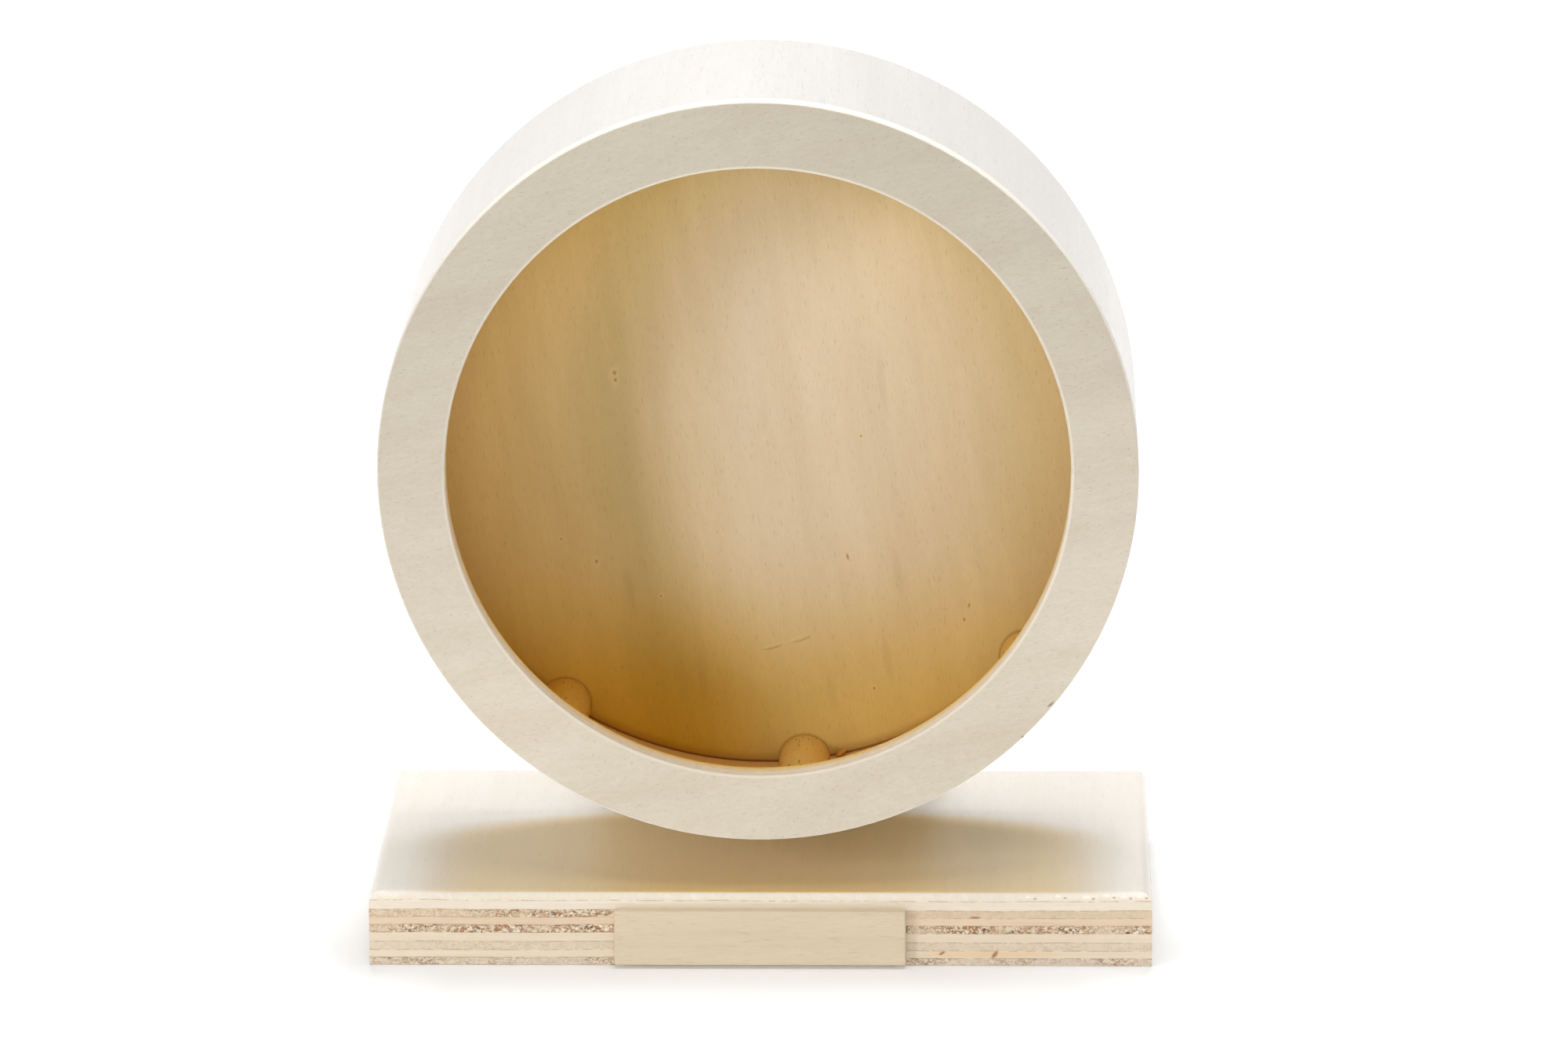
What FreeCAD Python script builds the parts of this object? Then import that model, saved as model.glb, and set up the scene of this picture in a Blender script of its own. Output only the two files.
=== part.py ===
import FreeCAD, Part
import math
import os

# Wooden exercise wheel for a small rodent, in millimetres.
# A closed-back drum turns on a fixed axle bolt in an upright board, over a plywood base.
# Origin: centre of the base board's underside. +X right, +Y to the back, +Z up.

# Base board and its plaque
base_width = 208.0
base_depth = 117.0
base_thickness = 20.0
base_edge_radius = 3.0
base_foot_radius = 0.5
plaque_width = 77.5
plaque_height = 15.0
plaque_thickness = 3.0
plaque_lift = 1.0
plaque_edge_radius = 0.6

# Drum: front ring, bent wall and back disc
wheel_diameter = 200.0
wheel_depth = 78.0
wheel_clearance = 14.5
ring_thickness = 8.0
ring_flange = 5.0
ring_width = 17.8
mouth_edge_radius = 0.8
mouth_back_radius = 0.4
rim_edge_radius = 0.5
wall_thickness = 2.0
disc_thickness = 12.0
glue_gap = 0.05

# Half-round rungs on the running floor, counted from the one nearest the bottom
rung_count = 9
rung_diameter = 14.0
rung_angle = 6.2
rung_end_gap = 0.1

# Upright board behind the drum
upright_thickness = 18.0
upright_foot_width = 96.0
upright_head_radius = 34.0
upright_edge_radius = 1.5

# Dowels and screws between base and upright
dowel_diameter = 8.0
dowel_spacing = 30.0
dowel_in_base = 14.0
dowel_in_upright = 20.0
dowel_gap = 0.1
base_screw_inset = 15.0
base_screw_shank = 4.5
base_screw_head = 9.0
base_screw_bite = 28.0

# Hub block and its screws
hub_diameter = 56.0
hub_edge_radius = 2.0
hub_screw_count = 4
hub_screw_shank = 3.5
hub_screw_head = 7.0
hub_screw_bite = 7.0
screw_sink = 0.5
screw_tip = 4.0
screw_slack = 0.05
recess_depth = 1.4
recess_width = 0.9

# Ball bearings, the common 8 x 22 x 7 size
bearing_bore = 8.0
bearing_diameter = 22.0
bearing_width = 7.0
bearing_spacing = 1.0
bearing_gap = 0.02
ball_count = 7
ball_diameter = 3.96
groove_depth = 0.5
groove_gap = 0.07
cage_wall = 1.6
cage_gap = 0.1
cage_side_gap = 0.25
shield_thickness = 0.35
shield_recess = 0.45
shield_lap = 0.45
shield_gap = 0.2

# Axle bolt, washers and lock nut
axle_gap = 0.05
bolt_hole_gap = 0.1
head_across_flats = 13.0
head_thickness = 5.3
head_space = 3.0
head_gap = 0.6
head_side_gap = 2.5
hex_chamfer = 30.0
washer_diameter = 16.0
washer_thickness = 1.6
washer_gap = 0.2
nut_thickness = 6.5
nut_collar = 1.5
nut_collar_diameter = 11.2
nut_pocket_margin = 1.0
nut_side_gap = 2.5
bolt_tail = 0.6

# Places that follow from the sizes
axle_height = base_thickness + wheel_clearance + wheel_diameter / 2
wheel_radius = wheel_diameter / 2
mouth_radius = wheel_radius - ring_width
floor_radius = wheel_radius - wall_thickness
hub_thickness = head_space + 2 * bearing_width + bearing_spacing
hub_screw_circle = (hub_diameter + bearing_diameter) / 2
ball_circle = (bearing_bore + bearing_diameter) / 2
inner_race_radius = (ball_circle - ball_diameter) / 2 + groove_depth
outer_race_radius = (ball_circle + ball_diameter) / 2 - groove_depth
shield_seat_radius = outer_race_radius + shield_lap
cage_width = bearing_width - 2 * (shield_recess + shield_thickness + cage_side_gap)
axle_radius = bearing_bore / 2 - axle_gap
head_pocket_radius = head_across_flats / math.sqrt(3) + head_side_gap
nut_pocket_radius = washer_diameter / 2 + nut_side_gap
nut_pocket_depth = washer_thickness + nut_thickness + nut_collar + nut_pocket_margin

upright_back_y = base_depth / 2
upright_front_y = upright_back_y - upright_thickness
hub_back_y = upright_front_y - washer_thickness
hub_front_y = hub_back_y - hub_thickness
wheel_front_y = hub_front_y - wheel_depth
ring_back_y = wheel_front_y + ring_thickness
wall_front_y = wheel_front_y + ring_flange
disc_front_y = hub_front_y - disc_thickness
rear_bearing_y = hub_back_y - bearing_width
front_bearing_y = rear_bearing_y - bearing_spacing - bearing_width
head_front_y = front_bearing_y - head_thickness
nut_seat_y = upright_back_y - nut_pocket_depth

FORWARD = FreeCAD.Vector(0, -1, 0)
BACKWARD = FreeCAD.Vector(0, 1, 0)
UP = FreeCAD.Vector(0, 0, 1)
ORIGIN = FreeCAD.Vector(0, 0, 0)


def on_axle(y):
    """Point of the axle's centre line at depth y."""
    return FreeCAD.Vector(0, y, axle_height)


def round_bar(radius, y_front, y_back):
    """Cylinder about the axle."""
    return Part.makeCylinder(radius, y_back - y_front, on_axle(y_front), BACKWARD)


def round_tube(inner_radius, outer_radius, y_front, y_back):
    """Tube about the axle."""
    return round_bar(outer_radius, y_front, y_back).cut(round_bar(inner_radius, y_front, y_back))


def rim_edges(shape, radius, y):
    """Circular edges about the axle with a given radius and depth."""
    found = []
    for edge in shape.Edges:
        if not isinstance(edge.Curve, Part.Circle):
            continue
        same_radius = abs(edge.Curve.Radius - radius) < 1e-6
        if same_radius and edge.Curve.Center.distanceToPoint(on_axle(y)) < 1e-6:
            found.append(edge)
    return found


def turned(profile):
    """Solid of revolution of (radius, height) points about +Z."""
    points = [FreeCAD.Vector(radius, 0, height) for radius, height in profile]
    return Part.Face(Part.makePolygon(points + points[:1])).revolve(ORIGIN, UP, 360)


def placed(shape, position, direction):
    """Shape modelled along +Z, set down at a position along a direction."""
    shape.Placement = FreeCAD.Placement(position, FreeCAD.Rotation(UP, direction))
    return shape


def about_axle(shape, angle):
    """Copy of a shape turned about the axle; positive goes from the bottom to the right."""
    copy = shape.copy()
    copy.rotate(on_axle(0), FORWARD, angle)
    return copy


def hex_bar(across_flats, y_front, y_back):
    """Hexagon about the axle with the corners of both ends chamfered."""
    corner = across_flats / math.sqrt(3)
    length = y_back - y_front
    rise = (corner - across_flats / 2) * math.tan(math.radians(hex_chamfer))
    angles = [math.radians(60 * side) for side in range(7)]
    outline = [FreeCAD.Vector(corner * math.cos(a), corner * math.sin(a), 0) for a in angles]
    prism = Part.Face(Part.makePolygon(outline)).extrude(UP * length)
    flat = across_flats / 2
    chamfered = turned([
        (0, 0), (flat, 0), (corner, rise), (corner, length - rise), (flat, length), (0, length)])
    return placed(prism.common(chamfered), on_axle(y_front), BACKWARD)


# Countersunk screws

def screw_form(length, shank, head, slack):
    """Countersunk screw along +Z from the top of its head, grown all round by slack."""
    shank_radius = shank / 2 + slack
    head_radius = head / 2 + slack
    end = length + slack
    return turned([
        (0, 0), (head_radius, 0), (shank_radius, head_radius - shank_radius),
        (shank_radius, end - screw_tip), (0, end)])


def screw(position, direction, length, shank, head):
    """Screw with a cross recess in its head."""
    body = screw_form(length, shank, head, 0)
    for turn in (0, 90):
        slot = Part.makeBox(shank, recess_width, recess_depth)
        slot.translate(FreeCAD.Vector(-shank / 2, -recess_width / 2, 0))
        slot.rotate(ORIGIN, UP, turn)
        body = body.cut(slot)
    return placed(body, position, direction)


def screw_hole(position, direction, length, shank, head):
    """Room for a screw whose head lies screw_sink below the surface."""
    sunk = Part.makeCylinder(head / 2 + screw_slack, screw_sink, ORIGIN, -UP)
    return placed(screw_form(length, shank, head, screw_slack).fuse(sunk), position, direction)


# Stand

base_screw_length = base_thickness - screw_sink + base_screw_bite
upright_middle_y = upright_back_y - upright_thickness / 2


def base_screw_places():
    offset = upright_foot_width / 2 - base_screw_inset
    return [FreeCAD.Vector(side * offset, upright_middle_y, screw_sink) for side in (-1, 1)]


def dowel_places():
    bottom = base_thickness - dowel_in_base
    return [FreeCAD.Vector(side * dowel_spacing / 2, upright_middle_y, bottom) for side in (-1, 1)]


def dowel_cuts():
    """Blind holes for the dowels, on both sides of the seam between base and upright."""
    radius = dowel_diameter / 2 + dowel_gap
    length = dowel_in_base + dowel_in_upright + 2 * dowel_gap
    lowered = UP * dowel_gap
    return [Part.makeCylinder(radius, length, place - lowered) for place in dowel_places()]


def base_screw_cuts():
    return [
        screw_hole(place, UP, base_screw_length, base_screw_shank, base_screw_head)
        for place in base_screw_places()]


def base_board():
    """Board with its top edges rounded over and its upright corners left square."""
    corner = FreeCAD.Vector(-base_width / 2, -base_depth / 2, 0)
    board = Part.makeBox(base_width, base_depth, base_thickness, corner)
    upper = [edge for edge in board.Edges if edge.BoundBox.ZMin > base_thickness / 2]
    board = board.makeFillet(base_edge_radius, upper)
    lower = [edge for edge in board.Edges if edge.BoundBox.ZMax < 1e-6]
    board = board.makeFillet(base_foot_radius, lower)
    return board.cut(dowel_cuts() + base_screw_cuts())


def front_plaque():
    corner = FreeCAD.Vector(-plaque_width / 2, -base_depth / 2 - plaque_thickness, plaque_lift)
    plate = Part.makeBox(plaque_width, plaque_thickness, plaque_height, corner)
    exposed = [edge for edge in plate.Edges if edge.BoundBox.YMin < corner.y + 1e-6]
    return plate.makeFillet(plaque_edge_radius, exposed)


def upright_outline():
    """Foot on the base, straight sides that meet the round head tangentially."""
    half_foot = upright_foot_width / 2
    rise = axle_height - base_thickness
    reach = math.hypot(half_foot, rise)
    angle = math.acos(upright_head_radius / reach) - math.atan2(rise, half_foot)
    touch_x = upright_head_radius * math.cos(angle)
    touch_z = axle_height + upright_head_radius * math.sin(angle)
    foot = [FreeCAD.Vector(side * half_foot, upright_front_y, base_thickness) for side in (-1, 1)]
    touch = [FreeCAD.Vector(side * touch_x, upright_front_y, touch_z) for side in (-1, 1)]
    crown = FreeCAD.Vector(0, upright_front_y, axle_height + upright_head_radius)
    edges = [
        Part.makeLine(foot[0], foot[1]),
        Part.makeLine(foot[1], touch[1]),
        Part.Arc(touch[1], crown, touch[0]).toShape(),
        Part.makeLine(touch[0], foot[0])]
    return Part.Face(Part.Wire(edges))


def upright_board():
    board = upright_outline().extrude(BACKWARD * upright_thickness)
    outline = []
    for edge in board.Edges:
        flat = edge.BoundBox.YLength < 1e-6
        if flat and edge.BoundBox.ZMax > base_thickness + 1e-6:
            outline.append(edge)
    board = board.makeFillet(upright_edge_radius, outline)
    bore = round_bar(axle_radius + bolt_hole_gap, upright_front_y, upright_back_y)
    pocket = round_bar(nut_pocket_radius, nut_seat_y, upright_back_y)
    return board.cut([bore, pocket] + dowel_cuts() + base_screw_cuts())


def locating_dowels():
    length = dowel_in_base + dowel_in_upright
    return Part.makeCompound([
        Part.makeCylinder(dowel_diameter / 2, length, place) for place in dowel_places()])


def base_screws():
    return Part.makeCompound([
        screw(place, UP, base_screw_length, base_screw_shank, base_screw_head)
        for place in base_screw_places()])


# Drum

def front_ring():
    """Mouth ring: a full-size flange in front and a spigot that fits inside the wall."""
    flange = round_bar(wheel_radius, wheel_front_y, wall_front_y)
    spigot = round_bar(floor_radius - glue_gap, wall_front_y, ring_back_y)
    ring = flange.fuse(spigot).cut(round_bar(mouth_radius, wheel_front_y, ring_back_y))
    ring = ring.makeFillet(rim_edge_radius, rim_edges(ring, wheel_radius, wheel_front_y))
    ring = ring.makeFillet(mouth_edge_radius, rim_edges(ring, mouth_radius, wheel_front_y))
    return ring.makeFillet(mouth_back_radius, rim_edges(ring, mouth_radius, ring_back_y))


def drum_wall():
    return round_tube(floor_radius, wheel_radius, wall_front_y, hub_front_y)


def back_disc():
    """Disc inside the back of the wall, with a blind pocket for the bolt's head."""
    disc = round_bar(floor_radius - glue_gap, disc_front_y, hub_front_y)
    pocket = round_bar(head_pocket_radius, head_front_y - head_gap, hub_front_y)
    return disc.cut([pocket] + hub_screw_cuts())


def rung(index):
    """Half of a round bar, its flat side hollowed to lie on the running floor."""
    length = disc_front_y - ring_back_y - 2 * rung_end_gap
    place = FreeCAD.Vector(0, ring_back_y + rung_end_gap, axle_height - floor_radius)
    bar = Part.makeCylinder(rung_diameter / 2, length, place, BACKWARD)
    inside = round_bar(floor_radius - glue_gap, ring_back_y, disc_front_y)
    return about_axle(bar.common(inside), rung_angle + index * 360 / rung_count)


# Hub

hub_screw_length = hub_thickness - screw_sink + hub_screw_bite


def hub_screw_places():
    places = []
    for index in range(hub_screw_count):
        angle = 2 * math.pi * (index + 0.5) / hub_screw_count
        across = hub_screw_circle / 2 * math.cos(angle)
        rise = hub_screw_circle / 2 * math.sin(angle)
        places.append(on_axle(hub_back_y - screw_sink) + FreeCAD.Vector(across, 0, rise))
    return places


def hub_screw_cuts():
    return [
        screw_hole(place, FORWARD, hub_screw_length, hub_screw_shank, hub_screw_head)
        for place in hub_screw_places()]


def hub_block():
    block = round_bar(hub_diameter / 2, hub_front_y, hub_back_y)
    block = block.makeFillet(hub_edge_radius, rim_edges(block, hub_diameter / 2, hub_back_y))
    bore = round_bar(bearing_diameter / 2 + bearing_gap, hub_front_y, hub_back_y)
    return block.cut([bore] + hub_screw_cuts())


def hub_screws():
    return Part.makeCompound([
        screw(place, FORWARD, hub_screw_length, hub_screw_shank, hub_screw_head)
        for place in hub_screw_places()])


# Ball bearings: each is given by the depth of its front face

def ball_track(y):
    """Ring-shaped room for the balls, which the two races are hollowed by."""
    middle = on_axle(y + bearing_width / 2)
    return Part.makeTorus(ball_circle / 2, ball_diameter / 2 + groove_gap, middle, BACKWARD)


def inner_race(y):
    race = round_tube(bearing_bore / 2, inner_race_radius, y, y + bearing_width)
    return race.cut(ball_track(y))


def outer_race(y):
    """Race with a step at each end that a shield sits against."""
    race = round_tube(outer_race_radius, bearing_diameter / 2, y, y + bearing_width)
    depth = shield_recess + shield_thickness
    seats = [
        round_bar(shield_seat_radius, y, y + depth),
        round_bar(shield_seat_radius, y + bearing_width - depth, y + bearing_width)]
    return race.cut(seats + [ball_track(y)])


def bearing_balls(y):
    ball = Part.makeSphere(ball_diameter / 2, on_axle(y + bearing_width / 2) - UP * (ball_circle / 2))
    return Part.makeCompound([about_axle(ball, index * 360 / ball_count) for index in range(ball_count)])


def bearing_cage(y):
    """Ring between the races with a round window for each ball."""
    middle = on_axle(y + bearing_width / 2)
    ring = round_tube(
        (ball_circle - cage_wall) / 2, (ball_circle + cage_wall) / 2,
        middle.y - cage_width / 2, middle.y + cage_width / 2)
    window = Part.makeCylinder(ball_diameter / 2 + cage_gap, ball_circle, middle, -UP)
    return ring.cut([about_axle(window, index * 360 / ball_count) for index in range(ball_count)])


def bearing_shields(y):
    inner_radius = inner_race_radius + shield_gap
    outer_radius = shield_seat_radius - bearing_gap
    front = y + shield_recess
    back = y + bearing_width - shield_recess
    return Part.makeCompound([
        round_tube(inner_radius, outer_radius, front, front + shield_thickness),
        round_tube(inner_radius, outer_radius, back - shield_thickness, back)])


def bearing_spacer():
    return round_tube(
        bearing_bore / 2, inner_race_radius, rear_bearing_y - bearing_spacing, rear_bearing_y)


# Axle hardware

def axle_bolt():
    nut_back_y = nut_seat_y + washer_thickness + nut_thickness + nut_collar
    shank = round_bar(axle_radius, front_bearing_y, nut_back_y + bolt_tail)
    head = hex_bar(head_across_flats, head_front_y, front_bearing_y)
    return head.fuse(shank)


def washer(y):
    return round_tube(axle_radius + washer_gap, washer_diameter / 2, y, y + washer_thickness)


def lock_nut():
    """Hexagon nut with the round collar of its locking insert."""
    front = nut_seat_y + washer_thickness
    middle = front + nut_thickness
    collar = round_bar(nut_collar_diameter / 2, middle, middle + nut_collar)
    nut = hex_bar(head_across_flats, front, middle).fuse(collar)
    return nut.cut(round_bar(axle_radius + axle_gap, front, middle + nut_collar))


def export(name, shape):
    shape.exportStep("parts/" + name + ".step")


def main():
    os.makedirs("parts", exist_ok=True)
    export("base_board", base_board())
    export("front_plaque", front_plaque())
    export("upright_board", upright_board())
    export("locating_dowels", locating_dowels())
    export("base_screws", base_screws())
    export("front_ring", front_ring())
    export("drum_wall", drum_wall())
    export("back_disc", back_disc())
    for index in range(rung_count):
        export("rung_" + str(index + 1), rung(index))
    export("hub_block", hub_block())
    export("hub_screws", hub_screws())
    for place, y in (("front", front_bearing_y), ("rear", rear_bearing_y)):
        export(place + "_bearing_inner_race", inner_race(y))
        export(place + "_bearing_outer_race", outer_race(y))
        export(place + "_bearing_balls", bearing_balls(y))
        export(place + "_bearing_cage", bearing_cage(y))
        export(place + "_bearing_shields", bearing_shields(y))
    export("bearing_spacer", bearing_spacer())
    export("axle_bolt", axle_bolt())
    export("spacer_washer", washer(hub_back_y))
    export("nut_washer", washer(nut_seat_y))
    export("lock_nut", lock_nut())


main()
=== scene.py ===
import math

import bmesh
import bpy
from mathutils import Matrix, Vector


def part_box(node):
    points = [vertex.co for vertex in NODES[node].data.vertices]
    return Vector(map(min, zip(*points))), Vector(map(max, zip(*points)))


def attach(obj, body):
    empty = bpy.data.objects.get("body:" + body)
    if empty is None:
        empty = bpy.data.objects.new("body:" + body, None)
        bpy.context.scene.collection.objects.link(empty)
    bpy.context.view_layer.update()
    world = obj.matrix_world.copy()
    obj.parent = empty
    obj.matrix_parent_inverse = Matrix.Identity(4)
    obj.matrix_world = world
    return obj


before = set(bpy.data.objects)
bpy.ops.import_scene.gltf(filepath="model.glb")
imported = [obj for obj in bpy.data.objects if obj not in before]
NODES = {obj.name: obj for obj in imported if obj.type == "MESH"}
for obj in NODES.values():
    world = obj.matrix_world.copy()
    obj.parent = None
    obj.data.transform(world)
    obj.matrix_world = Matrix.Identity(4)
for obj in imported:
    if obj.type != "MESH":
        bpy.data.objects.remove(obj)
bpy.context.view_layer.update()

# Lengths on the object are millimetres in the frame's own axes: +X right, +Y back, +Z up, origin
# at the middle of the base's underside. Blender works in metres, in which stage, lamps and camera
# are placed.
MM = 1000.0


def span(node):
    """Lowest and highest corner of a CAD node, in millimetres."""
    low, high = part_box(node)
    return low * MM, high * MM


BASE_LOW, BASE_HIGH = span("base_board")
UPRIGHT_LOW, UPRIGHT_HIGH = span("upright_board")
RING_LOW, RING_HIGH = span("front_ring")
DISC_LOW, DISC_HIGH = span("back_disc")
DRUM_LOW, DRUM_HIGH = span("drum_wall")
AXLE_X = (DRUM_LOW.x + DRUM_HIGH.x) / 2
AXLE_Z = (DRUM_LOW.z + DRUM_HIGH.z) / 2
DRUM_RADIUS = (DRUM_HIGH.x - DRUM_LOW.x) / 2
# Sizes that no node's box gives, as the solids have them.
WALL_THICKNESS = 2.0
FLOOR_RADIUS = DRUM_RADIUS - WALL_THICKNESS
MOUTH_RADIUS = 82.2
RUNG_COUNT = 9
RUNG_RADIUS = 7.0
RUNG_START = math.radians(6.2)
# Small marks on a surface reach this far in depth, to each side.
MARK_DEPTH = 4.0


def tint(red, green, blue):
    """Linear colour of an 8-bit display colour."""
    linear = [
        ((c / 255 + 0.055) / 1.055) ** 2.4 if c > 10 else c / 3294.6
        for c in (red, green, blue)
    ]
    return (*linear, 1.0)


class Graph:
    """A procedural material being wired: each call adds a node and returns its output."""

    def __init__(self, name, roughness=0.6, specular=0.3, metallic=0.0, fuzz=0.0):
        self.material = bpy.data.materials.new(name)
        self.material.use_nodes = True
        self.tree = self.material.node_tree
        self.tree.nodes.clear()
        self.surface = self.add("ShaderNodeBsdfPrincipled")
        self.surface.inputs["Roughness"].default_value = roughness
        self.surface.inputs["Specular IOR Level"].default_value = specular
        self.surface.inputs["Metallic"].default_value = metallic
        self.surface.inputs["Sheen Weight"].default_value = fuzz
        self.surface.inputs["Sheen Roughness"].default_value = 0.45
        output = self.add("ShaderNodeOutputMaterial")
        self.tree.links.new(self.surface.outputs["BSDF"], output.inputs["Surface"])
        where = self.add("ShaderNodeTexCoord")
        self.place = self.vector("SCALE", where.outputs["Object"], scale=MM)
        self.normal = where.outputs["Normal"]

    def add(self, kind, **settings):
        node = self.tree.nodes.new(kind)
        for key, value in settings.items():
            setattr(node, key, value)
        return node

    def feed(self, socket, value):
        if isinstance(value, bpy.types.NodeSocket):
            self.tree.links.new(value, socket)
        else:
            socket.default_value = value

    def math(self, operation, *values, clamp=False):
        node = self.add("ShaderNodeMath", operation=operation, use_clamp=clamp)
        for socket, value in zip(node.inputs, values):
            self.feed(socket, value)
        return node.outputs[0]

    def vector(self, operation, *values, scale=None):
        node = self.add("ShaderNodeVectorMath", operation=operation)
        for socket, value in zip(node.inputs, values):
            self.feed(socket, value)
        if scale is not None:
            self.feed(node.inputs["Scale"], scale)
        number = operation in ("LENGTH", "DOT_PRODUCT")
        return node.outputs["Value" if number else "Vector"]

    def split(self, vector):
        node = self.add("ShaderNodeSeparateXYZ")
        self.feed(node.inputs[0], vector)
        return node.outputs["X"], node.outputs["Y"], node.outputs["Z"]

    def mapped(self, vector, kind="POINT", location=(0, 0, 0), rotation=(0, 0, 0), scale=(1, 1, 1)):
        node = self.add("ShaderNodeMapping", vector_type=kind)
        for key, value in zip(
            ("Vector", "Location", "Rotation", "Scale"), (vector, location, rotation, scale)
        ):
            self.feed(node.inputs[key], value)
        return node.outputs["Vector"]

    def noise(self, vector, size, seed, detail=2.0, roughness=0.55, distortion=0.0):
        """Noise whose features are about size = (x, y, z) millimetres across."""
        shift = (seed * 7.31 + 0.4, seed * 3.17 + 1.3, seed * 5.71 + 2.2)
        node = self.add("ShaderNodeTexNoise")
        stretched = self.mapped(vector, location=shift, scale=[1 / s for s in size])
        self.feed(node.inputs["Vector"], stretched)
        for key, value in zip(
            ("Scale", "Detail", "Roughness", "Distortion"), (1.0, detail, roughness, distortion)
        ):
            self.feed(node.inputs[key], value)
        return node.outputs[0]

    def smooth(self, value, low, high, floor=0.0, top=1.0):
        node = self.add("ShaderNodeMapRange", interpolation_type="SMOOTHSTEP")
        for socket, given in zip(node.inputs, (value, low, high, floor, top)):
            self.feed(socket, given)
        return node.outputs[0]

    def ramp(self, value, stops, interpolation="LINEAR"):
        node = self.add("ShaderNodeValToRGB")
        self.feed(node.inputs[0], value)
        ramp = node.color_ramp
        ramp.interpolation = interpolation
        while len(ramp.elements) < len(stops):
            ramp.elements.new(1.0)
        for element, (position, colour) in zip(ramp.elements, stops):
            element.position = position
            element.color = colour if isinstance(colour, tuple) else (colour, colour, colour, 1.0)
        return node.outputs["Color"]

    def mix(self, factor, first, second, blend="MIX"):
        node = self.add("ShaderNodeMix", data_type="RGBA", blend_type=blend, clamp_factor=True)
        for index, value in ((0, factor), (6, first), (7, second)):
            self.feed(node.inputs[index], value)
        return node.outputs[2]

    def paint(self, colour, mask, strength, paint):
        """The colour with paint over it where mask is 1, as opaque as strength says."""
        return self.mix(self.math("MULTIPLY", mask, strength), colour, paint)

    def deepen(self, colour, mask, factor):
        """The colour, multiplied by factor where mask is 1."""
        return self.mix(mask, colour, factor, "MULTIPLY")

    def weighted(self, *pairs):
        """Sum of value times weight."""
        total = 0.0
        for value, weight in pairs:
            total = self.math("MULTIPLY_ADD", value, weight, total)
        return total

    def marks(self, places):
        """Mask of small spots: (x, y, z, half width, half height, lean to the right in degrees)."""
        total = 0.0
        for x, y, z, wide, high, lean in places:
            local = self.mapped(
                self.place,
                "TEXTURE",
                location=(x, y, z),
                rotation=(0, math.radians(lean), 0),
                scale=(wide, MARK_DEPTH, high),
            )
            spot = self.smooth(self.vector("LENGTH", local), 1.0, 0.35)
            total = self.math("MAXIMUM", spot, total)
        return total

    def along(self, direction):
        """The place in millimetres, turned so that direction lies along X."""
        turn = Vector(direction).rotation_difference(Vector((1, 0, 0))).to_euler()
        return self.mapped(self.place, rotation=turn)

    def facing(self, direction):
        """How squarely the surface faces direction or away from it: 0 edge on, 1 square."""
        cosine = self.vector("DOT_PRODUCT", self.normal, direction)
        return self.math("POWER", self.math("ABSOLUTE", cosine), 2.0)

    def finish(self, colour, height, roughness=None):
        """Links the colour, the surface height in millimetres and, if given, the roughness."""
        self.feed(self.surface.inputs["Base Color"], colour)
        bump = self.add("ShaderNodeBump")
        self.feed(bump.inputs["Strength"], 1.0)
        self.feed(bump.inputs["Distance"], 1 / MM)
        self.feed(bump.inputs["Height"], height)
        self.feed(self.surface.inputs["Normal"], bump.outputs["Normal"])
        if roughness is not None:
            self.feed(self.surface.inputs["Roughness"], roughness)
        return self.material


# How a wood's figure is drawn: sizes along and across the grain, the darkest tint it multiplies by,
# and how strongly its pores show.
PLAIN_FIGURE = {
    "tone": (120, 16), "streak": (48, 2.6), "fibre": (6.0, 0.5),
    "dark": (0.86, 0.825, 0.77, 1), "pores": 0.22,
}
FUZZY_FIGURE = {
    "tone": (50, 14), "streak": (4.5, 1.2), "fibre": (1.7, 0.6),
    "dark": (0.86, 0.84, 0.81, 1), "pores": 0.30,
}
SOFT_FIGURE = {
    "tone": (110, 18), "streak": (28, 4.2), "fibre": (3.5, 0.6),
    "dark": (0.88, 0.85, 0.795, 1), "pores": 0.24,
}
EDGE_FIGURE = {
    "tone": (60, 3.0), "streak": (40, 0.55), "fibre": (4.0, 0.4),
    "dark": (0.87, 0.845, 0.80, 1), "pores": 0.15,
}
WALL_FIGURE = {
    "tone": (140, 9.0), "streak": (60, 1.6), "fibre": (7.0, 0.5),
    "dark": (0.90, 0.885, 0.86, 1), "pores": 0.26,
}
FAINT_FIGURE = {
    "tone": (120, 24), "streak": (50, 3.0), "fibre": (6.0, 0.6),
    "dark": (0.93, 0.915, 0.885, 1), "pores": 0.10,
}
PORE_TINT = (0.62, 0.52, 0.42, 1)


def figure(g, space, seed, look=PLAIN_FIGURE):
    """Sliced wood, grain along the space's X: a tint to multiply by, and the surface height."""
    tone, streak, fibre = (
        g.noise(space, (length, width, width), seed + k, detail=detail, distortion=bend)
        for k, ((length, width), detail, bend) in enumerate(
            ((look["tone"], 2.0, 0.4), (look["streak"], 3.0, 0.25), (look["fibre"], 2.0, 0.0))
        )
    )
    length, width = look["fibre"]
    pore = g.noise(space, (length * 0.8, width * 0.75, width * 0.75), seed + 3, detail=1.0)
    pore = g.smooth(pore, 0.62, 0.74)
    value = g.weighted((tone, 0.42), (streak, 0.33), (fibre, 0.25))
    middle = tuple((1 + channel) / 2 for channel in look["dark"])
    shade = g.ramp(value, [(0.30, look["dark"]), (0.50, middle), (0.68, (1, 1, 1, 1))])
    shade = g.deepen(shade, g.math("MULTIPLY", pore, look["pores"]), PORE_TINT)
    height = g.weighted((fibre, 0.030), (streak, 0.025), (pore, -0.035))
    return shade, height


# Plies wander by this much, over this distance, and a glue line is this wide to each side.
PLY_WAVE = 0.9
PLY_WAVE_SIZE = 38
GLUE_LINE = 0.20
PIT_BROWN = tint(166, 104, 40)
HOLE_BROWN = tint(106, 60, 20)
FLAKE_PALE = tint(252, 241, 222)
GLUE_BROWN = tint(134, 106, 78)


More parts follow.
